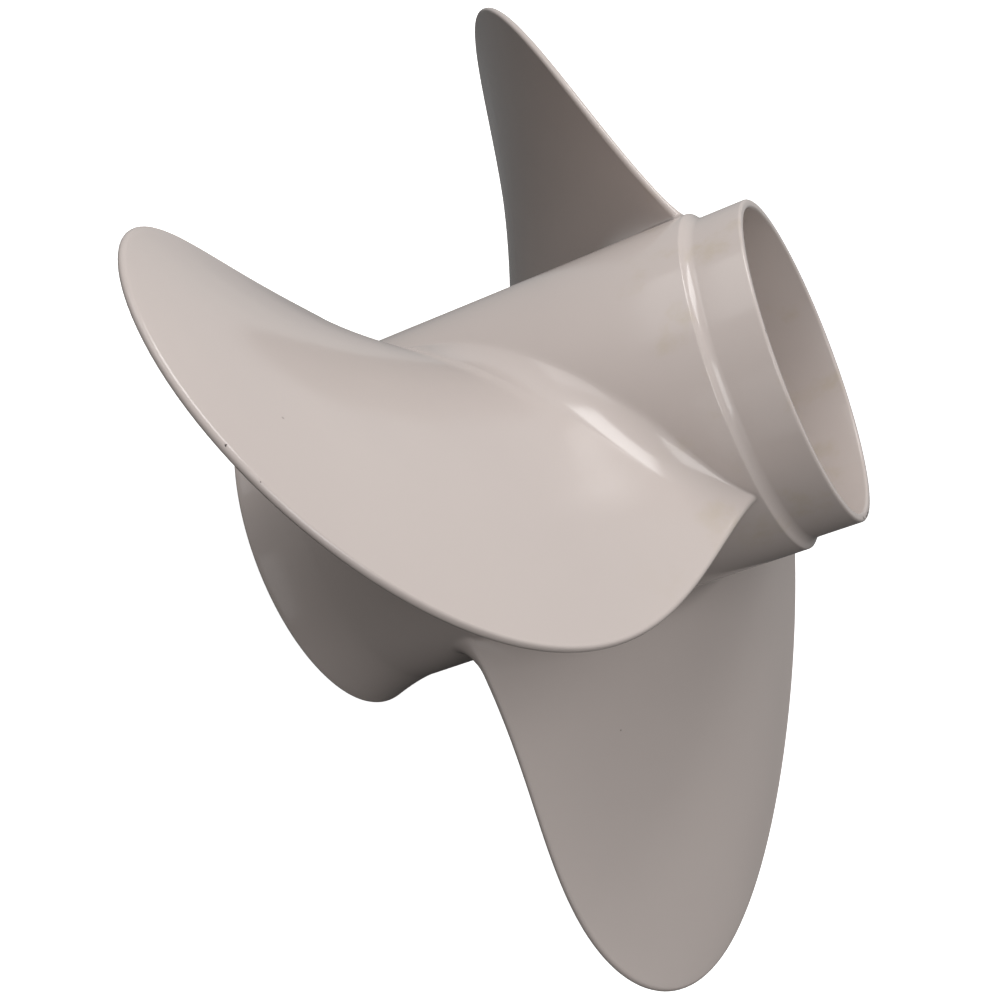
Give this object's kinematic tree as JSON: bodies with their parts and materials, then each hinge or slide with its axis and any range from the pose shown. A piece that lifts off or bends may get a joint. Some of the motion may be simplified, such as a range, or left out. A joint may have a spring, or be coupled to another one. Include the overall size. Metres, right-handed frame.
{
  "type": "ship propeller",
  "caption": "Painted cast-aluminium boat propeller: raked blades on a hollow barrel with a front collar and flared aft rim, round a rubber-bushed splined sleeve.",
  "frame": {"origin": "on the shaft axis, at the part's centroid, 85.5 mm above the aft rim it stands on", "axes": "+Z along the shaft axis, from the flared aft rim towards the front collar; +X and +Y across it, with one blade nearest +X"},
  "size_m": [0.3365, 0.3421, 0.1692],
  "materials": {
    "paint": "gloss",
    "rubber": "matte",
    "brass": "machined"
  },
  "bodies": {
    "root": {"propeller_casting": "paint", "rubber_bush": "rubber", "splined_sleeve": "brass"}
  },
  "joints": []
}
